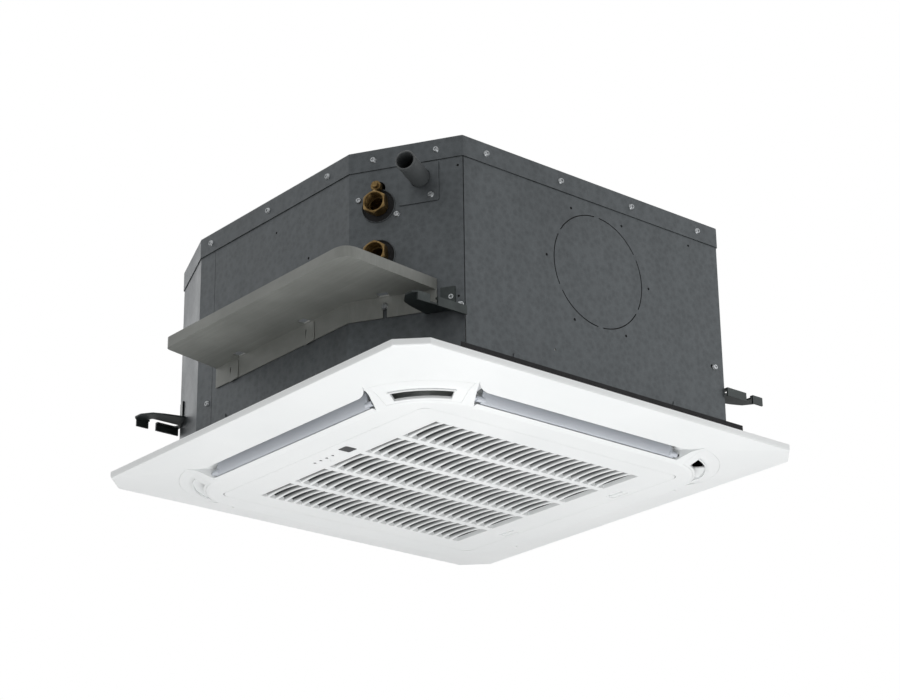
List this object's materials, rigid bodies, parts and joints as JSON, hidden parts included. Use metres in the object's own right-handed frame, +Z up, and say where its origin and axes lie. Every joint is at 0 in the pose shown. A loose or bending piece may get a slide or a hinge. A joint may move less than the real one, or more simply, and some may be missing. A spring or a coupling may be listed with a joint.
{
  "type": "ceiling cassette air conditioner",
  "caption": "Square ceiling-recessed fan coil unit: dark steel casing with hanging brackets, water unions and drip tray above a white fascia with air outlets and a slotted intake grille.",
  "frame": {"origin": "middle of the fascia in the ceiling plane, at the back of the rim", "axes": "+Z up into the ceiling void; the pipes leave at the -X/-Y corner; +X and -Y are the faces to the right of it"},
  "size_m": [0.692, 0.65, 0.3312],
  "materials": {
    "casing_steel": "dark grey coated sheet steel, satin",
    "bracket_steel": "dark coated steel, satin",
    "tray_paint": "dark olive-grey coated steel, satin",
    "black_foam": "closed-cell foam, matt",
    "white_foam": "expanded foam, matt",
    "brass": "machined, slightly dulled",
    "copper": "drawn copper tube, satin",
    "coil_fins": "thin fins, satin",
    "plain_steel": "zinc-plated, satin",
    "motor": "grey enamel, satin",
    "rubber": "matt",
    "fan_plastic": "satin moulding",
    "grey_plastic": "satin moulding",
    "fascia_white": "white moulding, satin gloss",
    "louvre_grey": "pale grey moulding, satin gloss",
    "filter": "dark net",
    "dark_lens": "dark tinted, glossy",
    "lamp_lens": "grey tinted, glossy"
  },
  "bodies": {
    "unit": {"top_cover": "casing_steel", "side_panel_right": "casing_steel", "side_panel_rear": "casing_steel", "side_panel_pipe": "casing_steel", "drain_cover_plate": "casing_steel", "control_box": "casing_steel", "control_box_cover": "casing_steel", "hanger_right": "bracket_steel", "hanger_far": "bracket_steel", "hanger_left": "bracket_steel", "hanger_pipe_corner": "bracket_steel", "drip_tray": "tray_paint", "top_insulation": "black_foam", "side_insulation": "black_foam", "foam_seal": "black_foam", "pipe_grommet_upper": "black_foam", "pipe_grommet_lower": "black_foam", "drain_pan": "white_foam", "water_union_upper": "brass", "water_union_lower": "brass", "air_vent_valve": "brass", "drain_cock": "brass", "coil_pipe_upper": "copper", "coil_pipe_lower": "copper", "heat_exchanger": "coil_fins", "header_tube_sheet": "plain_steel", "bend_tube_sheet": "plain_steel", "fan_motor": "motor", "motor_mount_1": "rubber", "motor_mount_2": "rubber", "motor_mount_3": "rubber", "bellmouth": "grey_plastic", "condensate_pump": "grey_plastic", "drain_tube": "grey_plastic", "float_stem": "grey_plastic", "louvre_motor_right": "grey_plastic", "louvre_motor_rear": "grey_plastic", "louvre_motor_far": "grey_plastic", "louvre_motor_left": "grey_plastic", "fascia_frame": "fascia_white", "corner_cover_pipe": "fascia_white", "corner_cover_right": "fascia_white", "corner_cover_rear": "fascia_white", "corner_cover_left": "fascia_white"},
    "fan_rotor": {"impeller": "fan_plastic", "impeller_shroud": "fan_plastic", "hub_nut": "plain_steel", "motor_shaft": "plain_steel"},
    "louvre_blade_right": {"louvre_right": "louvre_grey"},
    "louvre_blade_rear": {"louvre_rear": "louvre_grey"},
    "louvre_blade_far": {"louvre_far": "louvre_grey"},
    "louvre_blade_left": {"louvre_left": "louvre_grey"},
    "grille_door": {"intake_grille": "fascia_white", "air_filter": "filter", "receiver_window": "dark_lens", "indicator_lens": "lamp_lens"},
    "latch_1": {"grille_latch_1": "fascia_white"},
    "latch_2": {"grille_latch_2": "fascia_white"},
    "button": {"manual_button": "fascia_white"},
    "float_ring": {"pump_float": "white_foam"}
  },
  "joints": [
    {"name": "fan_spin", "type": "hinge", "parent": "unit", "child": "fan_rotor", "pos_m": [0, 0, 0.159], "axis": [0, 0, 1], "continuous": true},
    {"name": "louvre_swing_right", "type": "hinge", "parent": "unit", "child": "louvre_blade_right", "pos_m": [0, -0.25, -0.021], "axis": [1, 0, 0], "range_deg": [0, 70]},
    {"name": "louvre_swing_rear", "type": "hinge", "parent": "unit", "child": "louvre_blade_rear", "pos_m": [0.25, 0, -0.021], "axis": [0, 1, 0], "range_deg": [0, 70]},
    {"name": "louvre_swing_far", "type": "hinge", "parent": "unit", "child": "louvre_blade_far", "pos_m": [0, 0.25, -0.021], "axis": [-1, 0, 0], "range_deg": [0, 70]},
    {"name": "louvre_swing_left", "type": "hinge", "parent": "unit", "child": "louvre_blade_left", "pos_m": [-0.25, 0, -0.021], "axis": [0, -1, 0], "range_deg": [0, 70]},
    {"name": "grille_hinge", "type": "hinge", "parent": "unit", "child": "grille_door", "pos_m": [-0.2038, 0, -0.0283], "axis": [0, 1, 0], "range_deg": [0, 90]},
    {"name": "latch_slide_1", "type": "slide", "parent": "grille_door", "child": "latch_1", "axis": [-1, 0, 0], "range_m": [0, 0.006], "stiffness_N_per_m": 300},
    {"name": "latch_slide_2", "type": "slide", "parent": "grille_door", "child": "latch_2", "axis": [-1, 0, 0], "range_m": [0, 0.006], "stiffness_N_per_m": 300},
    {"name": "button_press", "type": "slide", "parent": "grille_door", "child": "button", "axis": [0, 0, 1], "range_m": [0, 0.0008], "stiffness_N_per_m": 400},
    {"name": "float_rise", "type": "slide", "parent": "unit", "child": "float_ring", "axis": [0, 0, 1], "range_m": [0, 0.012]}
  ],
  "couplings": [
    {"joint": "louvre_swing_rear", "follows": "louvre_swing_right", "ratio": 1},
    {"joint": "louvre_swing_far", "follows": "louvre_swing_right", "ratio": 1},
    {"joint": "louvre_swing_left", "follows": "louvre_swing_right", "ratio": 1}
  ]
}
